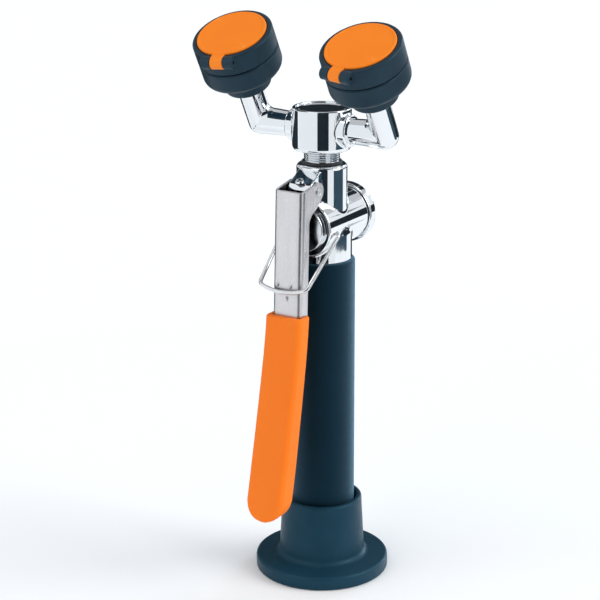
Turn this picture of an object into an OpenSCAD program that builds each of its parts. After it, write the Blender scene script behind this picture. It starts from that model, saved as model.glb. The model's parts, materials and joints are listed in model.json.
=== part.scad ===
/* [Deck flange] */
// Diameter of the round flange on the deck
flange_d = 80; // [72:1:110]
// Height of the flange rim
flange_rim_h = 8; // [6:0.5:12]
// Height of the cup's mouth above the deck
cup_h = 46; // [34:1:60]
// Wall of the cup at its mouth
cup_wall = 3.3; // [2.5:0.1:5]
// Outward lean of the cup wall over its height
cup_flare = 1.9; // [0.5:0.1:4]
// Gap between the sleeve and the cup
cup_clear = 1.2; // [0.6:0.1:2.5]
// Hose passage through the flange
hose_hole_d = 31; // [29:0.5:33]
// Height of the ledge that the handle stands on
ledge_z = 13.7; // [13:0.1:16]
// Pitch circle of the fixing screws under the flange
fix_pcd = 62; // [56:1:70]
// Diameter of the fixing screw holes
fix_d = 4.2; // [3:0.1:5.5]
// Depth of the fixing screw holes
fix_depth = 5.5; // [4:0.5:7]

/* [Handle] */
// Outer diameter of the grip sleeve
sleeve_d = 38.8; // [35:0.1:44]
// Length of the grip sleeve
sleeve_len = 181; // [150:1:220]
// Outer diameter of the water tube
tube_d = 26.7; // [24:0.1:27.5]
// Wall of the water tube
tube_wall = 2.8; // [2:0.1:3.5]
// Outer diameter of the inlet thread
inlet_d = 17.1; // [14:0.1:17.4]
// Length of the inlet thread
inlet_len = 9.5; // [8:0.5:10]
// Water passage in the inlet adapter
inlet_bore = 11; // [8:0.5:12]
// Step from the tube's wall in to the flats of the adapter's hex
hex_step = 2.15; // [2:0.05:3]

/* [Valve] */
// Height of the barrel axis above the top of the sleeve
barrel_rise = 21; // [19:0.5:26]
// Diameter of the cross barrel
barrel_d = 33; // [31.5:0.5:36]
// Reach of the barrel in front of the handle axis
barrel_front = 18; // [16:0.5:19]
// Reach of the barrel behind the handle axis
barrel_rear = 25.5; // [24:0.5:32]
// Diameter of the lower neck
neck_d = 35; // [33:0.5:37]
// Diameter of the outlet neck
outlet_d = 29.4; // [28:0.2:33]
// Height of the outlet neck above the lever pin
neck_over = 12.5; // [11.5:0.1:18]
// Overhang of the rear cap around the barrel
cap_over = 1.4; // [1:0.1:3]
// Diameter of the rear chamber
chamber_d = 25; // [23:0.5:26]
// Diameter of the valve seat hole
seat_d = 11; // [9:0.5:12]
// Diameter of the valve stem
stem_d = 5; // [4:0.2:6]
// Diameter of the spring's wire
spring_wire = 1.4; // [1:0.1:1.8]
// Turns of the return spring
spring_turns = 5; // [4:1:7]

/* [Lever] */
// Outer width of the lever channel
lever_w = 19; // [18:0.5:22]
// Thickness of the lever's sheet metal
lever_t = 1.6; // [1.2:0.1:2]
// Depth of the channel's side walls
lever_depth = 8.4; // [7.5:0.1:10]
// Length of the orange grip
grip_len = 119; // [100:1:125]
// Thickness of the grip in front of the lever
grip_front = 4; // [3:0.1:5]
// Thickness of the grip beside the lever
grip_side = 1.7; // [1.2:0.1:2.4]
// Diameter of the lever pin
pin_d = 4; // [3.5:0.1:4.5]
// Distance of the lever pin in front of the outlet neck
pin_stand = 4.5; // [4:0.1:7]
// Height of the lever pin above the barrel
pin_lift = 6.2; // [6:0.1:9]
// Diameter of the bail's wire
bail_wire = 2.3; // [1.8:0.1:2.6]
// Gap between the barrel's sides and the bail
bail_gap = 0.55; // [0.4:0.05:2]
// Length of the bail from its pivot to its cross wire
bail_len = 40.3; // [38:0.1:48]

/* [Yoke] */
// Diameter of the manifold
manifold_d = 34.2; // [32:0.2:40]
// Height of the manifold
manifold_h = 24.8; // [23:0.2:32]
// Gap between the outlet neck and the manifold
nipple_gap = 7.8; // [6.5:0.1:10]
// Diameter of the nipple's thread
nipple_d = 20.8; // [19:0.2:21.2]
// Distance from the handle axis to each elbow's corner
arm_reach = 41.66; // [39:0.5:50]
// Diameter of the arms
arm_d = 15.8; // [14.5:0.1:17]
// Diameter of the risers
riser_d = 14.8; // [13.5:0.1:15.2]
// Water passage in the arms and risers
arm_bore = 10.5; // [8:0.5:11]
// Forward tilt of the risers in degrees
tilt = 28; // [20:1:35]
// Distance from the elbow's corner to the cover's face
head_rise = 62.2; // [60:0.5:75]

/* [Spray heads] */
// Diameter of each head
head_d = 46.6; // [45:0.2:52]
// Width of the head's rim around the flip cover
cover_rim = 3.1; // [2.9:0.1:4]
// Thickness of the flip cover
cover_t = 1.4; // [1.2:0.1:1.6]
// Diameter of the collar under the bowl
collar_d = 26.4; // [24:0.2:28]
// Width of the cover's hinge tongue
tongue_w = 7.5; // [6:0.1:9]
// Diameter of the hinge barrels
knuckle_d = 7.4; // [6.4:0.1:7.6]
// Diameter of the hinge pin
hinge_pin_d = 2.2; // [1.8:0.1:2.4]
// Inward turn of the hinges in degrees
hinge_turn = 8.5; // [0:0.5:15]
// Diameter of the jet holes
jet_d = 1.6; // [1.2:0.1:2]

/* [Hidden] */
$fn = 96;
e = 0.01;
fit = 0.05;
seat_gap = 0.3;

sleeve_r = sleeve_d / 2;
tube_r = tube_d / 2;
tube_bore_r = tube_r - tube_wall;
cup_r = sleeve_r + cup_clear;
sleeve_z = ledge_z + seat_gap;
sleeve_top = sleeve_z + sleeve_len;
tube_z = sleeve_z + 2;
tube_top = sleeve_top + 11;
hex_h = 5;
inlet_hex = tube_d - 2 * hex_step;
hex_z = tube_z - hex_h;

barrel_r = barrel_d / 2;
barrel_z = sleeve_top + barrel_rise;
outlet_r = outlet_d / 2;
pin_y = outlet_r + pin_stand;
pin_z = barrel_z + barrel_r + pin_lift;
outlet_z = pin_z + neck_over;
outlet_rise = outlet_z - barrel_z;
cap_d = barrel_d + 2 * cap_over;
chamber_r = chamber_d / 2;
wall_y = 3;
front_r = 9.6;
port_r = 5.2;
port_y = 7.6;
nipple_r = nipple_d / 2;
nipple_depth = 12;
bonnet_len = 5;
cap_len = 6.5;
stem_travel = 3.2;
cap_lip = 8;
lug_half = lever_w / 2 - lever_t - 0.5;
lug_r = 6.4;
screw_y = -pin_y - 1.4;
screw_d = 2.6;

web_lean = 2.43;
web_y = -pin_y - 17.4;
web_top = pin_z + 2.7;
grip_top = pin_z - 69.4;
grip_low = grip_top - grip_len;
channel_low = grip_low + 10;
bend_top = grip_top + 2.7;
bail_y = -10.5;
bail_z = barrel_z - 2.2;
bail_half = barrel_r + bail_gap + bail_wire / 2;
bail_corner = 4;
bail_bow = 20;
bow_r = bail_corner + (bail_half - bail_corner) / sin(bail_bow);
bail_hole = 4.2;

manifold_z = outlet_z + nipple_gap;
manifold_r = manifold_d / 2;
arm_z = manifold_z + 12.6;
arm_r = arm_d / 2;
riser_r = riser_d / 2;
port_boss = 3;
spigot_r = arm_r - 1;
plug_r = manifold_r - 1.9;
plug_h = 3;

head_r = head_d / 2;
cover_r = head_r - cover_rim;
collar_r = collar_d / 2;
recess_r = cover_r + 0.4;
part_s = 13.5;
bowl_s = 28.2;
collar_s = 36.7;
riser_end = head_rise - collar_s + 8;
pocket_r = cover_r - 2;
ledge_r = pocket_r - 1.8;
plate_t = 1.6;
screen_t = 0.4;
skirt_r = head_r - 2.8;
hinge_y = cover_r + 2.9;
hinge_s = 3.8;
knuckle_r = knuckle_d / 2;
knuckle_end = 9.6;

// ---- shared shapes ----

// Cylinder lying along Y, from y0 to y1
module rod_y(r, y0, y1, z = 0, x = 0)
  translate([x, y0, z])
    rotate([-90, 0, 0])
      cylinder(r = r, h = y1 - y0);

// Cylinder lying along X, from x0 to x1
module rod_x(r, x0, x1, y = 0, z = 0)
  translate([x0, y, z])
    rotate([0, 90, 0])
      cylinder(r = r, h = x1 - x0);

// Flat ring standing on z
module ring(ro, ri, h, z = 0)
  translate([0, 0, z])
    difference() {
      cylinder(r = ro, h = h);
      translate([0, 0, -1]) cylinder(r = ri, h = h + 2);
    }

// Points of an arc about c, from angle a0 to a1
function arc(c, r, a0, a1, n = 6) =
  [for (i = [0:n]) let (a = a0 + (a1 - a0) * i / n) c + r * [cos(a), sin(a)]];

// Places a head's shape: z runs up the riser from the elbow's corner
module at_head(side)
  translate([side * arm_reach, 0, arm_z])
    rotate([tilt, 0, 0])
      rotate([0, 0, -side * hinge_turn])
        children();

// ---- deck flange ----

module deck_flange() color("#16324a") {
  foot_r = cup_r + cup_wall + cup_flare;
  flange_r = flange_d / 2;
  fillet = 3.5;
  difference() {
    rotate_extrude()
      polygon(concat(
        [[hose_hole_d / 2, 0]],
        arc([flange_r - 1, 1], 1, -90, 0),
        arc([flange_r - 2, flange_rim_h - 2], 2, 0, 90),
        arc([foot_r + fillet, flange_rim_h + 1.2 + fillet], fillet, -90, -180),
        arc([cup_r + cup_wall - 1.6, cup_h - 1.6], 1.6, 0, 90),
        arc([cup_r + 1.2, cup_h - 1.2], 1.2, 90, 180),
        [[cup_r, ledge_z], [hose_hole_d / 2, ledge_z]]
      ));
    for (a = [30:120:270])
      rotate([0, 0, a])
        translate([fix_pcd / 2, 0, -1])
          cylinder(d = fix_d, h = fix_depth + 1, $fn = 32);
  }
}

// ---- handle ----

module grip_sleeve() color("#12222f") {
  edge = 1.6;
  rotate_extrude()
    polygon(concat(
      [[tube_r + fit, sleeve_z]],
      arc([sleeve_r - edge, sleeve_z + edge], edge, -90, 0),
      arc([sleeve_r - edge, sleeve_top - edge], edge, 0, 90),
      [[tube_r + fit, sleeve_top]]
    ));
}

module handle_tube() color("silver")
  ring(tube_r, tube_bore_r, tube_top - tube_z, tube_z);

module inlet_adapter() color("goldenrod") {
  plug_len = 12;
  difference() {
    union() {
      translate([0, 0, hex_z - inlet_len]) cylinder(d = inlet_d, h = inlet_len + 1);
      translate([0, 0, hex_z])
        cylinder(d = inlet_hex / cos(30), h = hex_h, $fn = 6);
      translate([0, 0, tube_z - e]) cylinder(r = tube_bore_r - fit, h = plug_len);
    }
    translate([0, 0, -1]) cylinder(d = inlet_bore, h = tube_z + plug_len + 2);
  }
}

module inlet_washer() color("black")
  ring(tube_bore_r - fit, inlet_bore / 2, 1.6, tube_z + 12 - e);

// ---- valve ----

module valve_body() color("gainsboro")
  difference() {
    union() {
      translate([0, 0, sleeve_top]) cylinder(d = neck_d, h = barrel_rise);
      rod_y(barrel_r, -barrel_front, barrel_rear, barrel_z);
      translate([0, 0, barrel_z]) cylinder(r = outlet_r, h = outlet_rise - 1.4);
      translate([0, 0, outlet_z - 1.4])
        cylinder(r1 = outlet_r, r2 = outlet_r - 1.4, h = 1.4);
      lever_lug();
    }
    // Tube socket and inlet passage
    translate([0, 0, sleeve_top - 1])
      cylinder(r = tube_r + fit, h = tube_top - sleeve_top + 1 + seat_gap);
    translate([0, port_y, tube_top - 1]) cylinder(r = port_r, h = 8);
    // Rear chamber, seat hole and front chamber
    rod_y(chamber_r, wall_y, barrel_rear + 1, barrel_z);
    rod_y(seat_d / 2, -wall_y - 1, wall_y + 1, barrel_z);
    rod_y(front_r, -barrel_front - 1, -wall_y, barrel_z);
    // Outlet passage and nipple socket
    translate([0, -port_y, barrel_z + 4]) cylinder(r = port_r, h = 17);
    translate([0, 0, outlet_z - nipple_depth - 3.2])
      cylinder(r = nipple_r - 2.4, h = 8);
    translate([0, 0, outlet_z - nipple_depth])
      cylinder(r = nipple_r + fit, h = nipple_depth + 1);
    // Bail holes, lever pin hole and pin screw hole
    for (s = [-1, 1])
      rod_x(bail_wire / 2 + fit, min(s * 30, s * (barrel_r - bail_hole)),
            max(s * 30, s * (barrel_r - bail_hole)), bail_y, bail_z);
    rod_x(pin_d / 2 + fit, -20, 20, -pin_y, pin_z);
    translate([0, screw_y, pin_z])
      rotate([lug_slope(), 0, 0])
        cylinder(d = screw_d, h = 20);
  }

// Lean of the lug's sloping top, seen from the side
function lug_slope() = 31;

module lever_lug() {
  a = lug_slope();
  r = lug_r - 0.1;
  rod_x(lug_r, -lug_half, lug_half, -pin_y, pin_z);
  translate([-lug_half, 0, 0])
    rotate([90, 0, 90])
      linear_extrude(2 * lug_half)
        polygon([
          [4.7 - outlet_r, pin_z - 9.5],
          [-pin_y - r * cos(60), pin_z - r * sin(60)],
          [-pin_y - r * sin(a), pin_z + r * cos(a)],
          [-pin_y + 5, pin_z + r * cos(a) + (5 + r * sin(a)) * tan(a)],
          [4.7 - outlet_r, pin_z + r * cos(a) + (5 + r * sin(a)) * tan(a)]
        ]);
}

module bonnet_nut() color("silver")
  difference() {
    union() {
      rod_y(front_r - fit, -barrel_front, -wall_y - 8, barrel_z);
      rod_y(barrel_r - 3.4, -barrel_front - 3, -barrel_front, barrel_z);
      translate([0, -barrel_front - 3, barrel_z])
        rotate([90, 0, 0])
          cylinder(r1 = barrel_r - 3.4, r2 = stem_d / 2 + 2.6, h = bonnet_len - 3);
    }
    rod_y(stem_d / 2 + fit, -30, 0, barrel_z);
    rod_y(stem_d / 2 + 1.6, -14, -wall_y - 7, barrel_z);
  }

module stem_seal() color("black")
  translate([0, -12.5, barrel_z])
    rotate([-90, 0, 0])
      ring(stem_d / 2 + 1.6 - fit, stem_d / 2 + fit, 1.4);

module valve_stem() color("lightsteelblue") {
  tip_y = stem_tip_y();
  nose = 1.2;
  translate([0, 0, barrel_z])
    rotate([-90, 0, 0])
      rotate_extrude()
        polygon(concat(
          [[0, tip_y]],
          arc([stem_d / 2 - nose, tip_y + nose], nose, -90, 0),
          [[stem_d / 2, wall_y + 2], [1.5, wall_y + 2], [1.5, wall_y + 12], [0, wall_y + 12]]
        ));
}

module valve_disc() color("dimgray")
  translate([0, wall_y, barrel_z])
    rotate([-90, 0, 0])
      difference() {
        cylinder(r = seat_d / 2 + 3, h = 4);
        translate([0, 0, -1]) cylinder(r = stem_d / 2 + fit, h = 3);
        translate([0, 0, 1]) cylinder(r = 1.5 + fit, h = 5);
      }

module disc_nut() color("silver")
  translate([0, wall_y + 4, barrel_z])
    rotate([-90, 0, 0])
      difference() {
        union() {
          cylinder(r = seat_d / 2 + 2, h = 1.2);
          translate([0, 0, 1.1]) cylinder(r = 3.4, h = 3.4);
        }
        translate([0, 0, -1]) cylinder(r = 1.5 + fit, h = 8);
      }

// Helical spring between the disc nut's washer and the rear cap
module return_spring() color("silver") {
  sides = 8;
  steps = 20;
  n = steps * spring_turns;
  r = seat_d / 2 + 0.7;
  y0 = wall_y + 5.2 + stem_travel + spring_wire / 2 + 0.2;
  y1 = barrel_rear - 1.8 - spring_wire / 2 - 0.1;
  points = [for (i = [0:n], j = [0:sides - 1])
    let (
      a = 360 * i / steps,
      b = 360 * j / sides,
      rr = r + spring_wire / 2 * cos(b)
    )
    [rr * cos(a), y0 + (y1 - y0) * i / n + spring_wire / 2 * sin(b), rr * sin(a)]];
  skin = [for (i = [0:n - 1], j = [0:sides - 1])
    let (k = (j + 1) % sides)
    [i * sides + j, i * sides + k, (i + 1) * sides + k, (i + 1) * sides + j]];
  start = [[for (j = [sides - 1:-1:0]) j]];
  finish = [[for (j = [0:sides - 1]) n * sides + j]];
  translate([0, 0, barrel_z])
    polyhedron(points = points, faces = concat(skin, start, finish));
}

module rear_cap() color("gainsboro") {
  edge = 2;
  difference() {
    translate([0, barrel_rear + 0.8, barrel_z])
      rotate([-90, 0, 0])
        union() {
          rotate_extrude()
            polygon(concat(
              [[0, 0], [cap_d / 2, 0]],
              arc([cap_d / 2 - edge, cap_len - edge], edge, 0, 90),
              [[0, cap_len]]
            ));
          translate([0, 0, -cap_lip]) cylinder(r = chamber_r - fit, h = cap_lip + 1);
        }
    // Spring pocket and the two spanner notches
    rod_y(chamber_r - 3, barrel_rear - 9, barrel_rear - 1.8, barrel_z);
    for (s = [-1, 1])
      translate([s * cap_d / 2 - 3, barrel_rear + cap_len - 1.7, barrel_z - 3])
        cube([6, 4, 6]);
  }
}

module cap_gasket() color("black")
  translate([0, barrel_rear, barrel_z])
    rotate([-90, 0, 0])
      ring(barrel_r - 0.3, chamber_r + fit, 0.8);

// ---- lever ----

// Front line of the lever web, as depth at a height
function web_at(z) = web_y - (web_top - z) * tan(web_lean);
function stem_tip_y() = web_at(barrel_z) + lever_t / cos(web_lean) + seat_gap;
// Outward bend of the lever's lower end
function bend_at(z) = let (d = max(0, bend_top - z)) 0.2 * d * d / (d + 25);
function lever_y(z) = web_at(z) - bend_at(z);

// Side view of the channel, in y and z
module channel_side() {
  low = [for (z = [grip_top:-12:channel_low]) z];
  front = [for (z = low) [lever_y(z), z]];
  back = [for (i = [len(low) - 1:-1:0]) [lever_y(low[i]) + lever_depth, low[i]]];
  polygon(concat([[web_y, web_top]], front, back));
  polygon(concat(
    [[web_y, web_top], [lever_y(grip_top), grip_top],
     [lever_y(grip_top) + lever_depth, grip_top],
     [web_at(pin_z - 15) + lever_depth, pin_z - 15]],
    [[-pin_y - 6.7, pin_z - 11.3], [-pin_y - 2.3, pin_z - 9.4], [-pin_y + 0.8, pin_z - 6.6]],
    arc([-pin_y, pin_z], ear_r(), -50, 112, 10)
  ));
}
function ear_r() = 5.6;

module lever_channel() color("#c9ccd0") {
  inner = lever_w - 2 * lever_t;
  difference() {
    translate([-lever_w / 2, 0, 0])
      rotate([90, 0, 90])
        linear_extrude(lever_w)
          channel_side();
    translate([-inner / 2, 0, 0])
      rotate([90, 0, 90])
        linear_extrude(inner)
          translate([lever_t, 0])
            polygon(concat(
              [[web_y, web_top + 9]],
              [[web_y, web_top]],
              [for (z = [grip_top:-12:channel_low - 12]) [lever_y(z), z]],
              [for (z = [channel_low - 12:12:grip_top]) [lever_y(z) + 30, z]],
              [[0, web_top + 9]]
            ));
    rod_x(pin_d / 2 + fit, -20, 20, -pin_y, pin_z);
  }
}

// Sides of the channel where the grip covers it, grown by a gap
module channel_core(gap) {
  zs = [for (z = [grip_top:-12:channel_low]) z];
  n = len(zs) - 1;
  polygon(concat(
    [[lever_y(grip_top) - gap, grip_top + 1]],
    [for (z = zs) [lever_y(z) - gap, z]],
    [[lever_y(zs[n]) - gap, zs[n] - gap], [lever_y(zs[n]) + lever_depth + gap, zs[n] - gap]],
    [for (i = [n:-1:0]) [lever_y(zs[i]) + lever_depth + gap, zs[i]]],
    [[lever_y(grip_top) + lever_depth + gap, grip_top + 1]]
  ));
}

// Depth of the grip behind the lever's front line
function grip_back(z) = lever_depth + 0.5 + 3 * min(1, (grip_top - z) / 90);

// Moulded grip over the channel's lower end
module lever_grip() color("#f58a2a") {
  w = lever_w + 2 * grip_side;
  corner = 9;
  steps = 16;
  zs = [for (i = [0:steps]) grip_top - grip_len * i / steps];
  difference() {
    intersection() {
      translate([-w / 2, 0, 0])
        rotate([90, 0, 90])
          linear_extrude(w)
            polygon(concat(
              [for (z = zs) [lever_y(z) - grip_front, z]],
              [for (i = [steps:-1:0]) [lever_y(zs[i]) + grip_back(zs[i]), zs[i]]]
            ));
      union() {
        for (s = [-1, 1])
          rod_y(corner, -90, 0, grip_low + corner, s * (w / 2 - corner));
        translate([corner - w / 2, -90, grip_low]) cube([w - 2 * corner, 90, grip_len]);
        translate([-w / 2, -90, grip_low + corner]) cube([w, 90, grip_len]);
      }
    }
    translate([-lever_w / 2 - fit, 0, 0])
      rotate([90, 0, 90])
        linear_extrude(lever_w + 2 * fit)
          channel_core(fit);
  }
}

module lever_pin() color("silver") {
  head = 0.7;
  half = lever_w / 2;
  rod_x(pin_d / 2, -half, half, -pin_y, pin_z);
  for (s = [-1, 1])
    translate([s * (half + fit), -pin_y, pin_z])
      rotate([0, s * 90, 0])
        cylinder(r1 = pin_d / 2 + 1, r2 = pin_d / 2 + 0.5, h = head);
}

module pin_screw() color("silver")
  translate([0, screw_y, pin_z])
    rotate([lug_slope(), 0, 0]) {
      head_z = lug_r + 0.2;
      difference() {
        union() {
          translate([0, 0, pin_d / 2 + 0.6])
            cylinder(d = screw_d - 2 * fit, h = head_z - pin_d / 2);
          translate([0, 0, head_z]) cylinder(r1 = 2.6, r2 = 2.2, h = 1.8);
        }
        translate([-4, -0.4, head_z + 1]) cube([8, 0.8, 2]);
      }
    }

// ---- hold-open bail ----

// Bend in the bail's own plane: it runs a little way into the straight wire
module bail_bend(c, r, a0, sweep, slim)
  translate(c)
    rotate([0, 0, a0 - 2])
      rotate_extrude(angle = sweep + 4)
        translate([r, 0]) circle(r = bail_wire / 2 - slim);

// Angle below level at which the cross wire lies on the edges of the lever's web
function bail_rest() =
  let (
    half = lever_w / 2,
    reach = bail_len - bail_corner - (bail_half - bail_corner) / tan(bail_bow)
            + sqrt(bow_r * bow_r - half * half),
    off = (bail_y - web_y) * cos(web_lean) - (bail_z - web_top) * sin(web_lean)
  )
  acos((bail_wire / 2 + seat_gap + off) / reach) - web_lean;

// Pins along X, legs towards -Y and a bowed cross wire
module hold_open_bail() color("gainsboro") {
  r = bail_wire / 2;
  slim = 0.02;
  foot_bend = 2.2;
  corner = bail_corner;
  bow_a = bail_bow;
  leg_end = bail_len - corner;
  pin_in = barrel_r - bail_hole + 0.4;
  pin_out = bail_half - foot_bend;
  translate([0, bail_y, bail_z])
    rotate([bail_rest(), 0, 0]) {
      rod_x(r, pin_in, pin_out);
      rod_x(r, -pin_out, -pin_in);
      bail_bend([pin_out, -foot_bend], foot_bend, 0, 90, slim);
      bail_bend([-pin_out, -foot_bend], foot_bend, 90, 90, slim);
      for (s = [-1, 1])
        rod_y(r, -leg_end, -foot_bend, 0, s * bail_half);
      bail_bend([bail_half - corner, -leg_end], corner, bow_a - 90, 90 - bow_a, slim);
      bail_bend([corner - bail_half, -leg_end], corner, 180, 90 - bow_a, slim);
      bail_bend([0, -leg_end + (bail_half - corner) / tan(bow_a)], bow_r,
                -90 - bow_a, 2 * bow_a, 2 * slim);
    }
}

// ---- yoke ----

module outlet_nipple() color("silver") {
  ring(nipple_r, nipple_r - 2.6, nipple_gap + nipple_depth + 7,
       outlet_z - nipple_depth + seat_gap);
}

module outlet_seal() color("black")
  ring(nipple_r + 1.4, nipple_r + fit, 1.6, outlet_z);

module manifold() color("gainsboro") {
  edge = 1.6;
  foot = 3;
  top = manifold_z + manifold_h;
  difference() {
    union() {
      rotate_extrude()
        polygon(concat(
          [[0, manifold_z]],
          arc([manifold_r - foot, manifold_z + foot], foot, -90, 0),
          arc([manifold_r - edge, top - edge], edge, 0, 90),
          [[0, top]]
        ));
      for (s = [-1, 1])
        rotate([0, 0, s > 0 ? 0 : 180])
          translate([0, 0, arm_z])
            rotate([0, 90, 0])
              rotate_extrude()
                polygon(concat(
                  [[0, 4], [arm_r + 1.5, 4]],
                  arc([arm_r + 0.3, manifold_r + port_boss - 1.2], 1.2, 0, 90),
                  [[0, manifold_r + port_boss]]
                ));
    }
    translate([0, 0, manifold_z - 1]) cylinder(r = nipple_r + fit, h = 9);
    translate([0, 0, manifold_z + 7.5]) cylinder(r = nipple_r - 0.6, h = top - manifold_z - 12);
    translate([0, 0, top - plug_h - 0.8]) cylinder(r = plug_r + fit, h = plug_h + 2);
    rod_x(spigot_r + fit, -manifold_r - port_boss - 1, manifold_r + port_boss + 1, 0, arm_z);
  }
}

module manifold_plug() color("dimgray")
  translate([0, 0, manifold_z + manifold_h - plug_h - 0.8])
    cylinder(r = plug_r, h = plug_h);

// Elbow on the +X side: arm, ball corner and tilted riser
module elbow_shape() {
  inside = 7;
  arm_x = manifold_r + port_boss;
  len = arm_reach - arm_x;
  difference() {
    union() {
      rod_x(arm_r, arm_x, arm_reach, 0, arm_z);
      rod_x(spigot_r, arm_x - inside, arm_x + 1, 0, arm_z);
      translate([arm_reach, 0, arm_z]) sphere(r = arm_r + 0.1);
      translate([arm_reach, 0, arm_z])
        rotate([tilt, 0, 0])
          cylinder(r = riser_r, h = riser_end);
    }
    rod_x(arm_bore / 2, arm_x - inside - 1, arm_reach, 0, arm_z);
    translate([arm_reach, 0, arm_z]) sphere(r = arm_bore / 2 + 0.1);
    translate([arm_reach, 0, arm_z])
      rotate([tilt, 0, 0])
        cylinder(r = arm_bore / 2, h = riser_end + 1);
  }
}

module right_elbow() color("gainsboro") elbow_shape();
module left_elbow() color("gainsboro") mirror([1, 0, 0]) elbow_shape();

// ---- spray heads, in head space: z up the riser, cover's face at head_rise ----

module bowl() color("#1d3140") {
  t = head_rise;
  wall = 2.6;
  rotate_extrude()
    polygon(concat(
      [[riser_r + fit, t - collar_s]],
      arc([collar_r - 1.5, t - collar_s + 1.5], 1.5, -90, 0),
      [[collar_r, t - bowl_s]],
      [[collar_r + 2.4, t - bowl_s]],
      arc([collar_r + 2.4, t - bowl_s + head_r - collar_r - 2.4],
          head_r - collar_r - 2.4, -90, 0, 9),
      [[head_r, t - part_s - 0.9], [head_r - 0.6, t - part_s - 0.3]],
      [[skirt_r + fit, t - part_s - 0.3], [skirt_r + fit, t - part_s - 5.4]],
      [[skirt_r - 2, t - part_s - 5.4], [skirt_r - 2, t - bowl_s + 6.5]],
      [[collar_r - 1.2, t - bowl_s + wall], [riser_r - 1.2, t - bowl_s + wall]],
      [[riser_r - 1.2, riser_end + 1.5], [riser_r + fit, riser_end + 1.5]]
    ));
}

module head_ring() color("#22323f") {
  t = head_rise;
  cut = tongue_w / 2 + seat_gap;
  difference() {
    union() {
      rotate_extrude()
        polygon(concat(
          [[ledge_r, t - part_s - 4.4], [skirt_r, t - part_s - 4.4]],
          [[skirt_r, t - part_s + 0.3], [head_r - 0.6, t - part_s + 0.3]],
          [[head_r, t - part_s + 0.9]],
          arc([head_r - 2, t - 3], 2, 0, 90),
          [[recess_r, t - 1], [recess_r, t - 1.8]],
          [[pocket_r, t - 1.8], [pocket_r, t - 2.2 - plate_t - screen_t]],
          [[ledge_r, t - 2.2 - plate_t - screen_t]]
        ));
      rod_x(knuckle_r, -knuckle_end, knuckle_end, -hinge_y, t - hinge_s);
    }
    // Gap for the cover's tongue
    rod_x(knuckle_r + seat_gap, -cut, cut, -hinge_y, t - hinge_s);
    translate([-cut, -hinge_y - 8, t - hinge_s])
      cube([2 * cut, 8 + hinge_y - pocket_r - 0.6, 8]);
    translate([-cut, -hinge_y - 8, t - 1.8])
      cube([2 * cut, 8 + hinge_y - pocket_r + 4, 8]);
    rod_x(hinge_pin_d / 2 + fit, -20, 20, -hinge_y, t - hinge_s);
    // Sides of the knuckles stay clear of the cover's disc
    translate([0, 0, t - 1.8]) cylinder(r = recess_r, h = 4);
  }
}

module flip_cover() color("#f58a2a") {
  t = head_rise;
  edge = 0.7;
  difference() {
    union() {
      rotate_extrude()
        polygon(concat(
          [[0, t - cover_t], [cover_r, t - cover_t]],
          arc([cover_r - edge, t - edge], edge, 0, 90),
          [[0, t]]
        ));
      rod_x(knuckle_r, -tongue_w / 2, tongue_w / 2, -hinge_y, t - hinge_s);
      translate([-tongue_w / 2, -hinge_y, t - cover_t])
        cube([tongue_w, hinge_y - cover_r + 4, cover_t - 0.1]);
    }
    rod_x(hinge_pin_d / 2 + fit, -20, 20, -hinge_y, t - hinge_s);
  }
}

module hinge_pin() color("silver")
  rod_x(hinge_pin_d / 2, -knuckle_end + 1.2, knuckle_end - 1.2, -hinge_y, head_rise - hinge_s);

module spray_plate() color("#2b3b45")
  translate([0, 0, head_rise - 2.2 - plate_t])
    difference() {
      cylinder(r = pocket_r - 0.1, h = plate_t);
      translate([0, 0, -1]) cylinder(d = jet_d, h = plate_t + 2, $fn = 24);
      for (k = [[6, 6], [12, 12]])
        for (i = [0:k[1] - 1])
          rotate([0, 0, 360 * i / k[1]])
            translate([k[0], 0, -1])
              cylinder(d = jet_d, h = plate_t + 2, $fn = 24);
    }

module screen() color("silver")
  translate([0, 0, head_rise - 2.2 - plate_t - screen_t])
    cylinder(r = pocket_r - 0.1, h = screen_t);

module head_seal() color("black")
  ring(skirt_r - 0.1, skirt_r - 2, 1, head_rise - part_s - 5.4);

module riser_seal() color("black")
  ring(riser_r, arm_bore / 2, 1.4, riser_end + 0.05);

module flow_disc() color("#5a6a72")
  translate([0, 0, head_rise - bowl_s + 2.6])
    difference() {
      cylinder(r = collar_r - 2, h = 2);
      for (a = [0:60:300])
        rotate([0, 0, a])
          translate([4, 0, -1]) cylinder(r = 0.9, h = 4, $fn = 24);
    }

module left_bowl() at_head(-1) bowl();
module right_bowl() at_head(1) bowl();
module left_head_ring() at_head(-1) head_ring();
module right_head_ring() at_head(1) head_ring();
module left_head_seal() at_head(-1) head_seal();
module right_head_seal() at_head(1) head_seal();
module left_riser_seal() at_head(-1) riser_seal();
module right_riser_seal() at_head(1) riser_seal();
module left_flow_disc() at_head(-1) flow_disc();
module right_flow_disc() at_head(1) flow_disc();
module left_screen() at_head(-1) screen();
module right_screen() at_head(1) screen();
module left_spray_plate() at_head(-1) spray_plate();
module right_spray_plate() at_head(1) spray_plate();
module left_flip_cover() at_head(-1) flip_cover();
module right_flip_cover() at_head(1) flip_cover();
module left_hinge_pin() at_head(-1) hinge_pin();
module right_hinge_pin() at_head(1) hinge_pin();

deck_flange();
grip_sleeve();
handle_tube();
inlet_adapter();
inlet_washer();
valve_body();
bonnet_nut();
stem_seal();
valve_stem();
valve_disc();
disc_nut();
return_spring();
rear_cap();
cap_gasket();
lever_channel();
lever_grip();
lever_pin();
pin_screw();
hold_open_bail();
outlet_nipple();
outlet_seal();
manifold();
manifold_plug();
left_elbow();
right_elbow();
left_bowl();
right_bowl();
left_head_ring();
right_head_ring();
left_head_seal();
right_head_seal();
left_riser_seal();
right_riser_seal();
left_flow_disc();
right_flow_disc();
left_screen();
right_screen();
left_spray_plate();
right_spray_plate();
left_flip_cover();
right_flip_cover();
left_hinge_pin();
right_hinge_pin();
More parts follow.
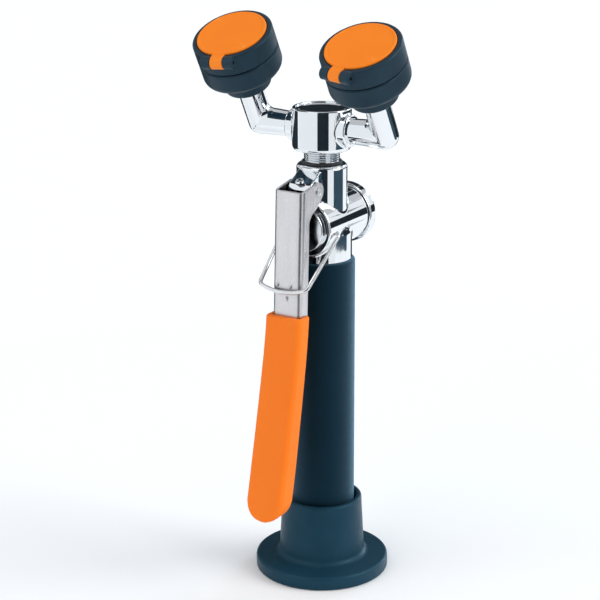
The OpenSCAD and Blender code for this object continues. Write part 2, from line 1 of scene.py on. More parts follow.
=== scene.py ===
import json
from math import acos, asin, atan2, cos, pi, radians, sin, sqrt, tan

import bmesh
import bpy
from mathutils import Matrix, Vector


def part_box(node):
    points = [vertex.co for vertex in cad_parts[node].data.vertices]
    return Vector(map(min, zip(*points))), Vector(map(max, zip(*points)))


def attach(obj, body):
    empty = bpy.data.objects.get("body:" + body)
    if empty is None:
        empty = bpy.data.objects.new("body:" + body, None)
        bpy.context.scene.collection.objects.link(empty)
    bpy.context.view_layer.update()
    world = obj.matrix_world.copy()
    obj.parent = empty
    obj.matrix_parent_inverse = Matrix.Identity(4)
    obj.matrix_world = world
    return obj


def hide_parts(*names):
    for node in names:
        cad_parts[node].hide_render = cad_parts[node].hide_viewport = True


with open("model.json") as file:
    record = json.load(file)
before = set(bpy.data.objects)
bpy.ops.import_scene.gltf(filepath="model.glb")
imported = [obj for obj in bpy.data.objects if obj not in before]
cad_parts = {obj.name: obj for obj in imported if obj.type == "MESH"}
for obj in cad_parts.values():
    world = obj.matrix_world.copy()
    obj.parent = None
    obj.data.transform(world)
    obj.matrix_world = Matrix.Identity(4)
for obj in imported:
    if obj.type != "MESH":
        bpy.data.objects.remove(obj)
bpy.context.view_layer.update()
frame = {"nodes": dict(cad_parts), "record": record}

# Shapes are worked in millimetres and made metres when a piece is finished.
MM = 0.001
ROUND = 112

ROW = frame["record"]
SLOT_OF = {part["node"]: part["material_slot"] for part in ROW["subparts"]}
BODY_OF = {node: body for body, nodes in ROW["behaviour"]["bodies"].items() for node in nodes}
JOINTS = {joint["name"]: joint for joint in ROW["behaviour"]["joints"]}
SIDES = {"left": -1, "right": 1}


def span(node):
    """Lowest and highest corner of a CAD node, in millimetres."""
    low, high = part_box(node)
    return low / MM, high / MM


# ---- sizes of the unit, in millimetres ----

# Play on each side of a piece that sits in another
FIT = 0.05
lug_slope = radians(31)

sleeve_low, sleeve_high = span("grip_sleeve")
sleeve_r = sleeve_high.x
tube_r = span("handle_tube")[1].x
deck_high = span("deck_flange")[1]

cap_low, cap_high = span("rear_cap")
cap_r = cap_high.x
barrel_r = cap_r - 1.4
barrel_z = (cap_low.z + cap_high.z) / 2
barrel_front = 18.0
cap_face = cap_high.y - 6.5
barrel_rear = cap_face - 0.8
valve_low, valve_high = span("valve_body")
neck_r = valve_high.x
neck_base = valve_low.z
outlet_r = 14.7
outlet_top = valve_high.z
chamber_r = 12.5

pin_y = JOINTS["lever_squeeze"]["pos_m"][1] / MM
pin_z = JOINTS["lever_squeeze"]["pos_m"][2] / MM
pin_r = 2.0
channel_high = span("lever_channel")[1]
channel_half = channel_high.x
channel_low = span("lever_channel")[0].z
sheet = 1.6
web_y = pin_y - 17.4
web_top = pin_z + 2.7
web_lean = radians(2.43)
wall_depth = 8.4
grip_low, grip_high = span("lever_grip")
bend_top = grip_high.z + 2.7

bail_y = JOINTS["bail_swing"]["pos_m"][1] / MM
bail_z = JOINTS["bail_swing"]["pos_m"][2] / MM
wire_r = 1.15
bail_low, bail_high = span("hold_open_bail")
bail_half = bail_high.x - wire_r
bail_reach = 36.3
bail_corner = 4.0
bail_bow = radians(20)

manifold_low, manifold_high = span("manifold")
manifold_r = manifold_high.y
boss_end = manifold_high.x
nipple_r = span("outlet_nipple")[1].x
arm_z = manifold_low.z + 12.6
arm_r = 7.9
riser_r = 7.4
water_way = 5.25

head_r = 23.3
head_rise = 62.2
cover_r = 20.2
pocket_r = 18.2
parting = 13.5
bowl_depth = 28.2
collar_r = 13.2
collar_depth = 36.7
hinge_out = 23.1
hinge_drop = 3.8
knuckle_r = 3.7
knuckle_end = 9.6
tongue_half = 3.75
hinge_pin_r = 1.1


# ---- outlines and closed shapes ----

def arc(x, y, radius, start, end, steps=8):
    """Points of an arc about (x, y), with its angles in degrees."""
    turns = [radians(start + (end - start) * i / steps) for i in range(steps + 1)]
    return [Vector((x + radius * cos(turn), y + radius * sin(turn))) for turn in turns]


def rounded(corners, closed=False, steps=6):
    """Outline through corners (x, y, fillet), with each corner rounded by its fillet."""
    points = []
    last = len(corners) - 1
    for i, (x, y, fillet) in enumerate(corners):
        here = Vector((x, y))
        if not fillet or (not closed and i in (0, last)):
            points.append(here)
            continue
        back = Vector(corners[i - 1][:2]) - here
        ahead = Vector(corners[(i + 1) % (last + 1)][:2]) - here
        u, v = back.normalized(), ahead.normalized()
        half = u.angle(v) / 2
        run = min(fillet / tan(half), 0.5 * back.length, 0.5 * ahead.length)
        radius = run * tan(half)
        centre = here + (u + v).normalized() * (radius / sin(half))
        first = here + u * run - centre
        turn = atan2(v.y * u.x - v.x * u.y, u.dot(v))
        sweep = -(pi - abs(turn)) if turn > 0 else pi - abs(turn)
        for step in range(steps + 1):
            angle = sweep * step / steps
            points.append(centre + Vector((
                first.x * cos(angle) - first.y * sin(angle),
                first.x * sin(angle) + first.y * cos(angle),
            )))
    return points


def tidied(bm):
    """Merges doubles and turns every face outward."""
    bmesh.ops.remove_doubles(bm, verts=bm.verts, dist=1e-4)
    bmesh.ops.recalc_face_normals(bm, faces=bm.faces)
    return bm


def turned(outline, place=Matrix(), closed=True, steps=ROUND):
    """Solid spun from an outline (radius, height) about the Z axis of its place."""
    bm = bmesh.new()
    verts = [bm.verts.new((x, 0, z)) for x, z in outline]
    edges = [bm.edges.new(pair) for pair in zip(verts, verts[1:])]
    if closed:
        edges.append(bm.edges.new((verts[-1], verts[0])))
    bmesh.ops.spin(bm, geom=verts + edges, cent=(0, 0, 0), axis=(0, 0, 1), dvec=(0, 0, 0),
                   angle=2 * pi, steps=steps, use_merge=True, use_duplicate=False)
    bmesh.ops.transform(bm, matrix=place, verts=bm.verts)
    return tidied(bm)


def rod(radius, low, high, place=Matrix(), edge=0.0, steps=ROUND):
    """Plain solid cylinder between two heights, with rounded rims if an edge is given."""
    corners = [(0, low, 0), (radius, low, edge), (radius, high, edge), (0, high, 0)]
    return turned(rounded(corners, steps=4), place, closed=False, steps=steps)


def slab(outline, place, thickness):
    """Flat outline in the XY plane of its place, grown along its Z axis."""
    bm = bmesh.new()
    verts = [bm.verts.new((x, y, 0)) for x, y in outline]
    edges = [bm.edges.new(pair) for pair in zip(verts, verts[1:] + verts[:1])]
    flat = bmesh.ops.contextual_create(bm, geom=edges)["faces"]
    grown = bmesh.ops.extrude_face_region(bm, geom=flat)["geom"]
    top = [v for v in grown if isinstance(v, bmesh.types.BMVert)]
    bmesh.ops.translate(bm, vec=(0, 0, thickness), verts=top)
    bmesh.ops.transform(bm, matrix=place, verts=bm.verts)
    return tidied(bm)


def block(low, high, place=Matrix()):
    """Box between two corners."""
    bm = bmesh.new()
    bmesh.ops.create_cube(bm, size=1)
    low, high = Vector(low), Vector(high)
    bmesh.ops.scale(bm, vec=high - low, verts=bm.verts)
    bmesh.ops.translate(bm, vec=(low + high) / 2, verts=bm.verts)
    bmesh.ops.transform(bm, matrix=place, verts=bm.verts)
    return bm


def swept(heights, section):
    """Solid whose level section follows a function of the height."""
    bm = bmesh.new()
    ring = [bm.verts.new((x, y, heights[0])) for x, y in section(heights[0])]
    edges = [bm.edges.new(pair) for pair in zip(ring, ring[1:] + ring[:1])]
    bmesh.ops.contextual_create(bm, geom=edges)
    for height in heights[1:]:
        grown = bmesh.ops.extrude_edge_only(bm, edges=edges)["geom"]
        # The new ring keeps the order of the old one
        ring = [new for new in grown if isinstance(new, bmesh.types.BMVert)]
        edges = [new for new in grown if isinstance(new, bmesh.types.BMEdge)
                 and all(end in ring for end in new.verts)]
        for vert, (x, y) in zip(ring, section(height)):
            vert.co = (x, y, height)
    bmesh.ops.contextual_create(bm, geom=edges)
    return tidied(bm)


def combined(first, others, how):
    """One solid from a first shape and others that are added, cut away or kept in common."""
    holders = []
    for number, shape in enumerate([first, *others]):
        mesh = bpy.data.meshes.new(f"stock_{number}")
        shape.to_mesh(mesh)
        shape.free()
        holder = bpy.data.objects.new(mesh.name, mesh)
        bpy.context.collection.objects.link(holder)
        holders.append(holder)
    for tool in holders[1:]:
        step = holders[0].modifiers.new("step", "BOOLEAN")
        step.operation = how
        step.solver = "EXACT"
        step.object = tool
    bm = bmesh.new()
    bm.from_object(holders[0], bpy.context.evaluated_depsgraph_get())
    for holder in holders:
        bpy.data.meshes.remove(holder.data)
    bmesh.ops.remove_doubles(bm, verts=bm.verts, dist=2e-3)
    bmesh.ops.dissolve_degenerate(bm, edges=bm.edges, dist=2e-3)
    return bm


def added(first, *others):
    return combined(first, others, "UNION")


def cut(first, *others):
    return combined(first, others, "DIFFERENCE")


def kept(first, *others):
    return combined(first, others, "INTERSECT")


def eased(bm, width, steps=3, least=50, where=None, clamp=True):
    """Rounds the edges that turn by more than an angle in degrees."""
    def wanted(edge):
        if len(edge.link_faces) != 2 or edge.calc_face_angle(0) < radians(least):
            return False
        return where is None or all(where(vert.co) for vert in edge.verts)
    bmesh.ops.bevel(bm, geom=[edge for edge in bm.edges if wanted(edge)], offset=width,
                    offset_type="OFFSET", segments=steps, profile=0.5, affect="EDGES",
                    clamp_overlap=clamp, material=-1, loop_slide=True)
    return bm


def sealed(bm):
    """Drops loose slivers and closes the small cracks that trimming can leave."""
    sliver_faces = 60
    bmesh.ops.dissolve_degenerate(bm, edges=bm.edges, dist=4e-3)
    unseen = set(bm.faces)
    slivers = []
    while unseen:
        island = [unseen.pop()]
        for face in island:
            for edge in face.edges:
                for other in edge.link_faces:
                    if other in unseen:
                        unseen.remove(other)
                        island.append(other)
        if len(island) < sliver_faces:
            slivers += island
    bmesh.ops.delete(bm, geom=slivers, context="FACES")
    cracks = [edge for edge in bm.edges if len(edge.link_faces) == 1]
    bmesh.ops.holes_fill(bm, edges=cracks, sides=0)
    return bm


def upright(x=0.0, y=0.0, z=0.0):
    return Matrix.Translation((x, y, z))


def along_x(x=0.0, y=0.0, z=0.0):
    """Place whose Z axis runs along the unit's X axis."""
    return upright(x, y, z) @ Matrix.Rotation(radians(90), 4, "Y")


def along_y(x=0.0, y=0.0, z=0.0):
    """Place whose Z axis runs along the unit's Y axis, to the rear."""
    return upright(x, y, z) @ Matrix.Rotation(radians(-90), 4, "X")


BARREL = along_y(z=barrel_z)
# Side view: the outline's x is the unit's Y, its y is the unit's Z
SIDE_VIEW = Matrix(((0, 0, 1, 0), (1, 0, 0, 0), (0, 1, 0, 0), (0, 0, 0, 1)))


# ---- finishes ----

class Finish:
    """One material, built from procedural nodes on Object coordinates."""

    def __init__(self, name, colour, roughness, metallic=0.0, **constants):
        self.material = bpy.data.materials.new(name)
        self.material.use_nodes = True
        self.tree = self.material.node_tree
        self.shader = self.tree.nodes["Principled BSDF"]
        self.colour = (*colour, 1)
        self.shader.inputs["Base Color"].default_value = self.colour
        self.shader.inputs["Roughness"].default_value = roughness
        self.shader.inputs["Metallic"].default_value = metallic
        for socket, value in constants.items():
            self.shader.inputs[socket.replace("_", " ")].default_value = value
        self.where = self.add("TexCoord").outputs["Object"]

    def add(self, kind, **values):
        node = self.tree.nodes.new("ShaderNode" + kind)
        for key, value in values.items():
            if key in node.inputs:
                node.inputs[key].default_value = value
            else:
                setattr(node, key, value)
        return node

    def link(self, source, node, socket):
        self.tree.links.new(source, node.inputs[socket])

    def stretched(self, stretch, turn=(0, 0, 0)):
        """Object coordinates, stretched and turned."""
        mapping = self.add("Mapping", Scale=stretch, Rotation=turn)
        self.link(self.where, mapping, "Vector")
        return mapping.outputs["Vector"]

    def noise(self, scale, detail=3.0, rough=0.55, stretch=None):
        node = self.add("TexNoise", Scale=scale, Detail=detail, Roughness=rough)
        self.link(self.stretched(stretch) if stretch else self.where, node, "Vector")
        return node.outputs["Fac"]

    def spread(self, source, low, high, start=0.3, end=0.7):
        """Number between low and high as the source goes from start to end."""
        node = self.add("MapRange")
        for socket, value in (("From Min", start), ("From Max", end), ("To Min", low), ("To Max", high)):
            node.inputs[socket].default_value = value
        self.link(source, node, "Value")
        return node.outputs["Result"]

    def worn_edges(self):
        """0 on open faces, 1 along outer edges."""
        node = self.add("NewGeometry")
        return self.spread(node.outputs["Pointiness"], 0.0, 1.0, 0.52, 0.62)

    def tint(self, source, colour, base=None):
        """Mixes another colour in by the source; returns the mixed colour."""
        node = self.add("Mix", data_type="RGBA")
        self.link(source, node, "Factor")
        node.inputs[7].default_value = (*colour, 1)
        if base is None:
            node.inputs[6].default_value = self.colour
        else:
            self.tree.links.new(base, node.inputs[6])
        self.tree.links.new(node.outputs[2], self.shader.inputs["Base Color"])
        return node.outputs[2]

    def rough(self, source):
        self.link(source, self.shader, "Roughness")

    def bump(self, source, distance, strength=1.0, under=None):
        """Raises the surface by the source, at most by a distance in metres."""
        node = self.add("Bump", Distance=distance, Strength=strength)
        self.link(source, node, "Height")
        if under is not None:
            self.link(under, node, "Normal")
        self.link(node.outputs["Normal"], self.shader, "Normal")
        return node.outputs["Normal"]


def moulded_plastic(name, colour, light, roughness):
    """Plastic with a fine spark-eroded grain, faint flow clouds and paler rubbed edges."""
    finish = Finish(name, colour, roughness, Specular_IOR_Level=0.26,
                    Specular_Tint=(0.4, 0.75, 1, 1))
    clouds = finish.tint(finish.spread(finish.noise(38, 4), 0.0, 0.12), light)
    rubbed = finish.add("Math", operation="MULTIPLY")
    finish.link(finish.worn_edges(), rubbed, 0)
    finish.link(finish.spread(finish.noise(160, 4), 0.05, 0.45), rubbed, 1)
    finish.tint(rubbed.outputs[0], light, base=clouds)
    finish.rough(finish.spread(finish.noise(240, 4), roughness - 0.05, roughness + 0.07))
    fine = finish.bump(finish.noise(2600, 2), 0.00004, 0.45)
    finish.bump(finish.noise(55, 2), 0.0002, 0.12, under=fine)
    return finish.material


def polished_chrome(name):
    """Mirror plate with a trace of haze and the faint waviness of a hand-polished casting."""
    finish = Finish(name, (0.86, 0.88, 0.9), 0.035, 1.0)
    finish.tint(finish.spread(finish.noise(45, 4), 0.0, 0.4, 0.45, 0.75), (0.76, 0.79, 0.82))
    finish.rough(finish.spread(finish.noise(90, 5, 0.65), 0.02, 0.075, 0.35, 0.8))
    finish.bump(finish.noise(30, 1), 0.00006, 0.12)
    return finish.material


def plated_steel(name):
    """Bright plated turned parts, a little hazier than the castings."""
    finish = Finish(name, (0.78, 0.8, 0.82), 0.14, 1.0)
    finish.rough(finish.spread(finish.noise(180, 5), 0.09, 0.22))
    finish.tint(finish.spread(finish.noise(60, 3), 0.0, 0.5), (0.68, 0.7, 0.73))
    finish.bump(finish.noise(900, 2), 0.00001, 0.3)
    return finish.material


def brushed_sheet(name):
    """Stainless sheet brushed along its length, with long fine hairlines and painted shade in its
    recesses.
    """
    finish = Finish(name, (0.72, 0.69, 0.7), 0.3, 1.0, Anisotropic=0.3)
    hairlines = finish.noise(1.0, 5, 0.7, stretch=(2600, 2600, 22))
    bands = finish.noise(1.0, 3, 0.6, stretch=(260, 260, 9))
    base = finish.tint(finish.spread(hairlines, 0.0, 0.7), (0.6, 0.575, 0.585))
    base = finish.tint(finish.spread(bands, 0.0, 0.5), (0.8, 0.775, 0.785), base=base)
    # Painted shade: the sheet is tinted near black where nearby surfaces hem it in, so the inside of the
    # channel looks shadowed.
    painted_recess_shade = finish.add("AmbientOcclusion", Distance=0.03)
    finish.tint(finish.spread(painted_recess_shade.outputs["AO"], 1.0, 0.0, 0.25, 0.75), (0.02, 0.022, 0.026), base=base)
    finish.rough(finish.spread(hairlines, 0.22, 0.36))
    finish.bump(hairlines, 0.00001, 0.2)
    return finish.material


def bright_drawn_wire(name):
    """Spring wire drawn bright, with fine die lines."""
    finish = Finish(name, (0.8, 0.8, 0.8), 0.16, 1.0)
    lines = finish.noise(1.0, 3, 0.6, stretch=(1800, 160, 160))
    finish.rough(finish.spread(lines, 0.1, 0.24))
    finish.tint(finish.spread(finish.noise(120, 3), 0.0, 0.6), (0.66, 0.66, 0.68))
    finish.bump(lines, 0.00001, 0.3)
    return finish.material


def plain_stainless(name):
    """Turned stainless with tool marks round the part."""
    finish = Finish(name, (0.66, 0.67, 0.69), 0.26, 1.0)
    marks = finish.noise(1.0, 3, 0.6, stretch=(900, 900, 900))
    finish.rough(finish.spread(marks, 0.2, 0.34))
    finish.tint(finish.spread(finish.noise(90, 3), 0.0, 0.5), (0.55, 0.56, 0.59))
    finish.bump(marks, 0.00001, 0.3)
    return finish.material


def dipped_vinyl(name):
    """Orange vinyl with a soft gloss, a fine pebble and slight sags in the dip."""
    finish = Finish(name, (0.93, 0.205, 0.014), 0.45, Specular_IOR_Level=0.1,
                    Subsurface_Weight=0.04, Subsurface_Scale=0.001)
    clouds = finish.tint(finish.spread(finish.noise(26, 4, stretch=(1, 1, 0.4)), 0.0, 0.5),
                         (0.9, 0.165, 0.01))
    finish.tint(finish.spread(finish.worn_edges(), 0.0, 0.35, 0.0, 1.0), (0.96, 0.29, 0.04), base=clouds)
    finish.rough(finish.spread(finish.noise(300, 4), 0.36, 0.5))
    pebble = finish.bump(finish.noise(1500, 2), 0.00005, 0.4)
    finish.bump(finish.noise(42, 2, stretch=(1, 1, 0.5)), 0.0003, 0.15, under=pebble)
    return finish.material


def moulded_orange(name):
    """Satin orange moulding of the flip covers."""
    finish = Finish(name, (0.93, 0.235, 0.014), 0.48, Specular_IOR_Level=0.1)
    clouds = finish.tint(finish.spread(finish.noise(60, 4), 0.0, 0.4), (0.9, 0.2, 0.01))
    finish.tint(finish.spread(finish.worn_edges(), 0.0, 0.55, 0.0, 1.0), (0.98, 0.36, 0.07), base=clouds)
    finish.rough(finish.spread(finish.noise(260, 4), 0.38, 0.52))
    fine = finish.bump(finish.noise(2200, 2), 0.00003, 0.4)
    finish.bump(finish.noise(50, 2), 0.0002, 0.1, under=fine)
    return finish.material


def foam_skin(name):
    """Closed-cell foam with a smooth moulded skin and shallow pores."""
    finish = Finish(name, (0.001, 0.006, 0.011), 0.5, Specular_IOR_Level=0.24,
                    Specular_Tint=(0.12, 0.55, 0.95, 1), Sheen_Weight=0.6,
                    Sheen_Roughness=0.45, Sheen_Tint=(0.3, 0.68, 0.95, 1))
    finish.tint(finish.spread(finish.noise(45, 5), 0.0, 0.6), (0.002, 0.01, 0.018))
    cells = finish.add("TexVoronoi", Scale=900.0, Randomness=1.0)
    finish.link(finish.where, cells, "Vector")
    finish.rough(finish.spread(finish.noise(320, 4), 0.42, 0.58))
    pores = finish.bump(cells.outputs["Distance"], 0.00005, 0.35)
    finish.bump(finish.noise(70, 3), 0.0003, 0.2, under=pores)
    return finish.material


def soft_rubber(name):
    """Black seal rubber with a dusty bloom."""
    finish = Finish(name, (0.012, 0.013, 0.014), 0.62)
    finish.tint(finish.spread(finish.noise(220, 5), 0.0, 0.6), (0.035, 0.036, 0.038))
    finish.rough(finish.spread(finish.noise(400, 3), 0.52, 0.72))
    finish.bump(finish.noise(1300, 2), 0.00003, 0.5)
    return finish.material


def machined_brass(name):
    """Turned brass with a warm, slightly dulled surface."""
    finish = Finish(name, (0.72, 0.5, 0.2), 0.25, 1.0)
    rings = finish.noise(1.0, 3, 0.6, stretch=(60, 60, 2600))
    finish.tint(finish.spread(finish.noise(90, 4), 0.0, 0.7), (0.5, 0.33, 0.13))
    finish.rough(finish.spread(rings, 0.18, 0.38))
    finish.bump(rings, 0.00001, 0.5)
    return finish.material


def woven_screen(name):
    """Fine woven wire: over-and-under waves in two directions."""
    finish = Finish(name, (0.55, 0.56, 0.58), 0.3, 1.0)
    weave = []
    for turn in ((0, 0, 0), (0, 0, radians(90))):
        wave = finish.add("TexWave", Scale=420.0, Distortion=0.0)
        finish.link(finish.stretched((1, 1, 1), turn), wave, "Vector")
        weave.append(wave.outputs["Fac"])
    crossing = finish.add("Math", operation="MULTIPLY")
    for socket, source in enumerate(weave):
        finish.link(source, crossing, socket)
    finish.tint(finish.spread(crossing.outputs[0], 1.0, 0.0, 0.1, 0.6), (0.03, 0.03, 0.035))
    finish.rough(finish.spread(crossing.outputs[0], 0.55, 0.25))
    finish.bump(crossing.outputs[0], 0.0002, 0.7)
    return finish.material


FINISHES = {
    "deck_moulding": moulded_plastic("deck_moulding", (0.004, 0.031, 0.054), (0.05, 0.12, 0.17), 0.4),
    "foam_sleeve": foam_skin("foam_sleeve"),
    "plated_tube": plated_steel("plated_tube"),
    "brass": machined_brass("brass"),
    "black_rubber": soft_rubber("black_rubber"),
    "chrome": polished_chrome("chrome"),
    "stainless": plain_stainless("stainless"),
    "brushed_stainless": brushed_sheet("brushed_stainless"),
    "orange_grip": dipped_vinyl("orange_grip"),
    "bright_wire": bright_drawn_wire("bright_wire"),
    "head_moulding": moulded_plastic("head_moulding", (0.01, 0.024, 0.036), (0.07, 0.11, 0.15), 0.42),
    "spray_moulding": moulded_plastic("spray_moulding", (0.03, 0.045, 0.058), (0.1, 0.13, 0.16), 0.4),
    "screen_mesh": woven_screen("screen_mesh"),
    "orange_cover": moulded_orange("orange_cover"),
}


def piece(node, bm, sharp=32):
    """Finishes a shape as the visible piece of a CAD node, on its body and in its finish."""
    bmesh.ops.scale(bm, vec=(MM, MM, MM), verts=bm.verts)
    mesh = bpy.data.meshes.new(f"{node}_piece")
    bm.to_mesh(mesh)
    bm.free()
    mesh.shade_smooth()
    mesh.set_sharp_from_angle(angle=radians(sharp))
    made = bpy.data.objects.new(mesh.name, mesh)
    bpy.context.collection.objects.link(made)
    mesh.materials.append(FINISHES[SLOT_OF[node]])
    weights = made.modifiers.new("face_weights", "WEIGHTED_NORMAL")
    weights.keep_sharp = True
    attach(made, BODY_OF[node])
    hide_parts(node)


# ---- deck flange and handle ----

def deck_flange():
    cup_r = sleeve_r + 1.2
    wall_top = cup_r + 3.3
    foot_r = wall_top + 1.9
    rim_r = deck_high.x
    rim_h = 8.0
    hose_r = 15.5
    ledge = sleeve_low.z - 0.3
    screw_circle = 31
    screw_r = 2.1
    body = turned(rounded([
        (hose_r, 0, 0.4), (rim_r, 0, 1), (rim_r, rim_h, 2), (foot_r, rim_h + 1.5, 3.5),
        (wall_top, deck_high.z, 1.6), (cup_r, deck_high.z, 1.2), (cup_r, ledge, 0.8),
        (hose_r, ledge, 0.4),
    ], closed=True))
    screws = [
        rod(screw_r, -1, 5.5, upright(screw_circle * cos(turn), screw_circle * sin(turn)), steps=32)
        for turn in (radians(30), radians(150), radians(270))
    ]
    piece("deck_flange", cut(body, *screws))


def grip_sleeve():
    bore = tube_r + FIT
    piece("grip_sleeve", turned(rounded([
        (bore, sleeve_low.z, 0.3), (sleeve_r, sleeve_low.z, 1.6),
        (sleeve_r, sleeve_high.z, 1.6), (bore, sleeve_high.z, 0.3),
    ], closed=True)))


def thread(radius, low, high, pitch, depth):
    """Outline of thread crests and roots, from low to high."""
    turns = int((high - low) / pitch)
    points = [Vector((radius - depth, low))]
    for turn in range(turns):
        start = low + turn * pitch
        points += [
            Vector((radius, start + 0.4 * pitch)), Vector((radius, start + 0.6 * pitch)),
            Vector((radius - depth, start + pitch)),
        ]
    return points


def inlet_adapter():
    low, high = span("inlet_adapter")
    hex_low = low.z + 9.5
    hex_high = hex_low + 5
    hex_r = high.x
    stem = turned(
        [Vector((0, low.z)), Vector((7.6, low.z))]
        + thread(8.55, low.z + 0.6, hex_low - 0.6, 1.4, 0.7)
        + [Vector((7.6, hex_low)), Vector((7.6, hex_low + 1))]
        + rounded([(10.5, hex_low + 1, 0), (10.5, high.z, 0.8), (0, high.z, 0)]),
        closed=False)
    nut = bmesh.new()
    bmesh.ops.create_cone(nut, cap_ends=True, segments=6, radius1=hex_r, radius2=hex_r,
                          depth=hex_high - hex_low)
    bmesh.ops.rotate(nut, matrix=Matrix.Rotation(radians(30), 3, "Z"), verts=nut.verts)
    bmesh.ops.translate(nut, vec=(0, 0, (hex_low + hex_high) / 2), verts=nut.verts)
    crown = turned(rounded([
        (0, hex_low, 0), (hex_r - 1.1, hex_low, 0), (hex_r + 0.2, hex_low + 0.9, 0),
        (hex_r + 0.2, hex_high - 0.9, 0), (hex_r - 1.1, hex_high, 0), (0, hex_high, 0),
    ]), closed=False)
    bore = rod(5.5, low.z - 1, high.z + 1)
    piece("inlet_adapter", cut(added(stem, kept(nut, crown)), bore))


# ---- valve ----

def pin_hole():
    """Cutter for the lever pin's hole, right through the lug and both ears."""
    return rod(pin_r + FIT, -20, 20, along_x(0, pin_y, pin_z), steps=48)


def valve_body():
    """Casting with its neck, cross barrel, outlet and lug, and the water's way through it."""
    neck = turned(rounded([
        (0, neck_base, 0), (neck_r, neck_base, 0.6), (neck_r, barrel_z - 5.5, 7),
        (barrel_r - 0.4, barrel_z + 1, 4), (0, barrel_z + 1, 0),
    ], steps=8), closed=False)
    barrel = rod(barrel_r, -barrel_front, barrel_rear, BARREL, edge=0.9)
    outlet = turned(rounded([
        (0, barrel_z, 0), (outlet_r, barrel_z, 0), (outlet_r, outlet_top, 2.2), (0, outlet_top, 0),
    ]), closed=False)
    lug_half = channel_half - sheet - 0.5
    nose = 6.4
    root = 4.7 - outlet_r
    top = pin_z + nose * cos(lug_slope) + (5 + nose * sin(lug_slope)) * tan(lug_slope)
    lug = slab(
        arc(pin_y, pin_z, nose, -120, -239, 18)
        + [Vector((pin_y + 5, top)), Vector((root, top)), Vector((root, pin_z - 9.5))],
        upright(x=-lug_half) @ SIDE_VIEW, 2 * lug_half)
    eased(lug, 0.8, 3, 60)
    body = added(barrel, neck, outlet, lug)

    def at_junction(co):
        return co.z > neck_base + 2 and co.z < outlet_top - 3 and abs(co.y) < barrel_front - 0.8

    bmesh.ops.remove_doubles(body, verts=body.verts, dist=0.12)
    eased(body, 1.3, 4, 24, where=at_junction, clamp=False)
    seat_back = 3.0
    socket = tube_r + FIT
    bail_place = along_x(0, bail_y, bail_z)
    bail_hole = 4.2
    ways = [
        rod(socket, neck_base - 1, neck_base + 11.3),
        rod(5.2, neck_base + 10, neck_base + 18, upright(0, 7.6, 0), steps=48),
        rod(chamber_r, seat_back, barrel_rear + 1, BARREL),
        rod(5.5, -seat_back - 1, seat_back + 1, BARREL, steps=64),
        rod(9.6, -barrel_front - 1, -seat_back, BARREL),
        rod(5.2, barrel_z + 4, barrel_z + 21, upright(0, -7.6, 0), steps=48),
        rod(nipple_r - 2.4, outlet_top - 15.2, outlet_top - 7),
        rod(nipple_r + FIT, outlet_top - 12, outlet_top + 1),
        rod(wire_r + FIT, barrel_r - bail_hole, 30, bail_place, steps=32),
        rod(wire_r + FIT, -30, bail_hole - barrel_r, bail_place, steps=32),
        pin_hole(),
    ]
    piece("valve_body", sealed(cut(sealed(body), *ways)), sharp=38)


def bonnet_nut():
    rim = barrel_r - 3.4
    front = barrel_front
    piece("bonnet_nut", turned(rounded([
        (2.55, -11, 0.2), (9.55, -11, 0.4), (9.55, -front, 0), (rim, -front, 0.3),
        (rim, -front - 3, 0.9), (5.1, -front - 5, 0.6), (2.55, -front - 5, 0.3),
    ], closed=True), BARREL))


def valve_stem():
    low, high = span("valve_stem")
    piece("valve_stem", turned(rounded([
        (0, low.y, 0), (high.x, low.y, 1.2), (high.x, high.y - 10, 0.2),
        (1.5, high.y - 10, 0.1), (1.5, high.y, 0.3), (0, high.y, 0),
    ]), BARREL, closed=False, steps=48))


def rear_cap():
    pocket = chamber_r - 3
    lip = cap_low.y
    cap = turned(rounded([
        (0, barrel_rear - 1.8, 0), (pocket, barrel_rear - 1.8, 0.3), (pocket, lip, 0.2),
        (chamber_r - FIT, lip, 0.5), (chamber_r - FIT, cap_face, 0), (cap_r, cap_face, 0.5),
        (cap_r, cap_high.y, 2), (cap_r - 6, cap_high.y, 0.4), (cap_r - 6.6, cap_high.y - 0.5, 0.4),
        (0, cap_high.y - 0.5, 0),
    ]), BARREL, closed=False)
    notches = [
        block((side * cap_r - 3, cap_high.y - 1.7, barrel_z - 3),
              (side * cap_r + 3, cap_high.y + 2.3, barrel_z + 3))
        for side in SIDES.values()
    ]
    piece("rear_cap", eased(cut(cap, *notches), 0.2, 2, 60))


def return_spring():
    low, high = span("return_spring")
    wire = 0.7
    turns, steps = 5, 28
    radius = high.x - wire
    rise = (high.y - low.y - 2 * wire) / (turns * steps)
    bm = bmesh.new()
    bmesh.ops.create_circle(bm, cap_ends=False, segments=12, radius=wire)
    bmesh.ops.translate(bm, vec=(radius, low.y + wire, barrel_z), verts=bm.verts)
    bmesh.ops.spin(bm, geom=bm.verts[:] + bm.edges[:], cent=(0, 0, barrel_z), axis=(0, 1, 0),
                   dvec=(0, rise, 0), angle=2 * pi * turns, steps=turns * steps,
                   use_merge=False, use_duplicate=False)
    bmesh.ops.holes_fill(bm, edges=bm.edges, sides=0)
    piece("return_spring", tidied(bm))


# ---- lever and bail ----

def web_at(z):
    """Front of the web where it is straight."""
    return web_y - (web_top - z) * tan(web_lean)


def lever_front(z):
    """Front of the lever's web at a height: straight, then bending outward."""
    below = max(0.0, bend_top - z)
    return web_at(z) - 0.2 * below * below / (below + 25)


def lever_heights(top, low, steps):
    return [top + (low - top) * step / steps for step in range(steps + 1)]


